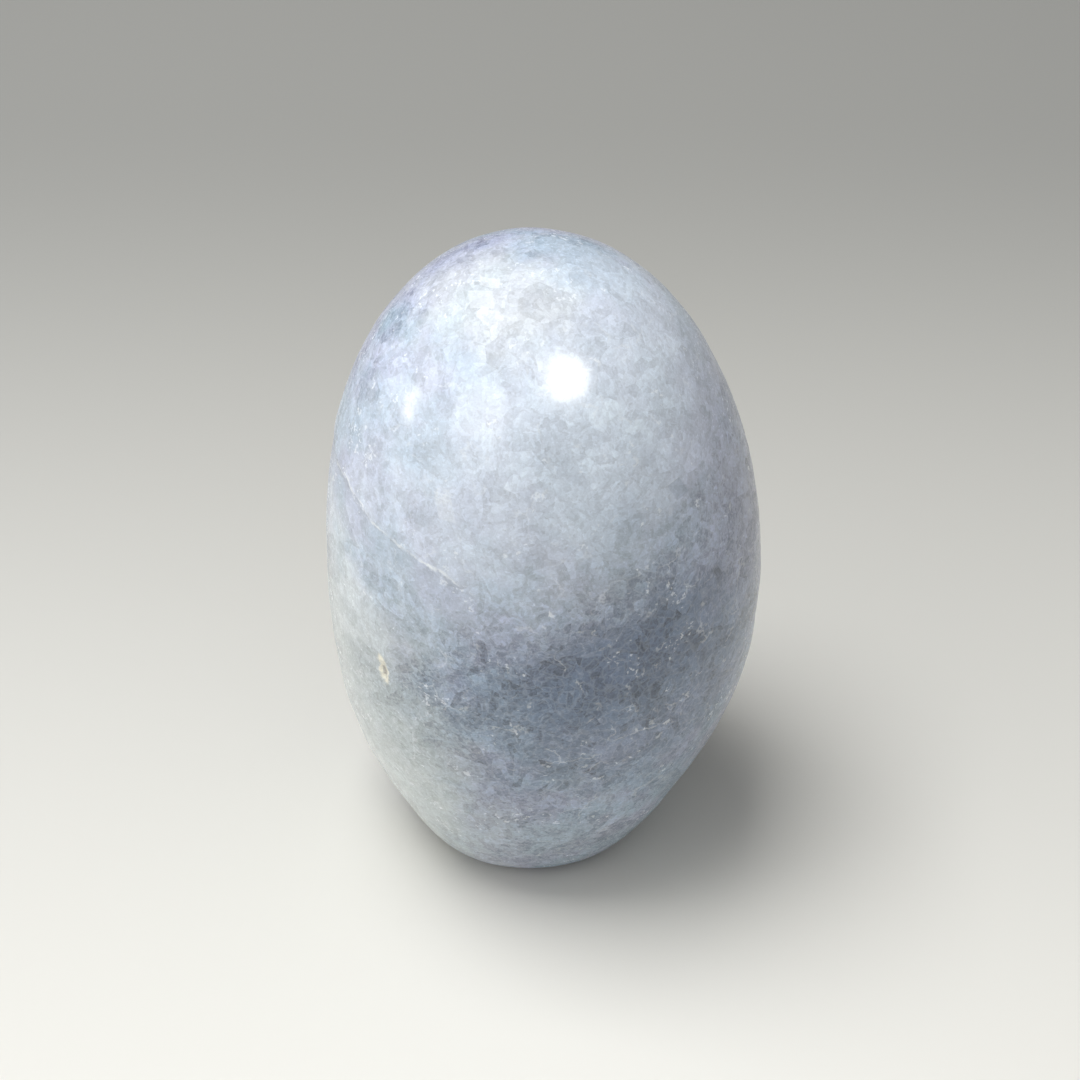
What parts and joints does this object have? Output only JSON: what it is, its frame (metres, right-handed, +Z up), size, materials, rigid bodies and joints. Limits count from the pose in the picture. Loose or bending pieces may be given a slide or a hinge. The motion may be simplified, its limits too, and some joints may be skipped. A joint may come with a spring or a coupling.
{
  "type": "blue calcite freeform",
  "caption": "Tall egg-like freeform of pale blue massive calcite, hand-polished all over, with a small ground flat on which it stands upright as a display stone.",
  "frame": {"origin": "on the ground flat, under the middle of the stone's width and depth", "axes": "+Z up along the stone's height, -Y towards its front, +X to the right seen from the front"},
  "size_m": [0.0868, 0.0798, 0.1394],
  "materials": {
    "blue_calcite": "hand-polished, milky and faintly translucent, with a mosaic of cleavage grains"
  },
  "bodies": {
    "root": {"calcite_freeform": "blue_calcite"}
  },
  "joints": []
}
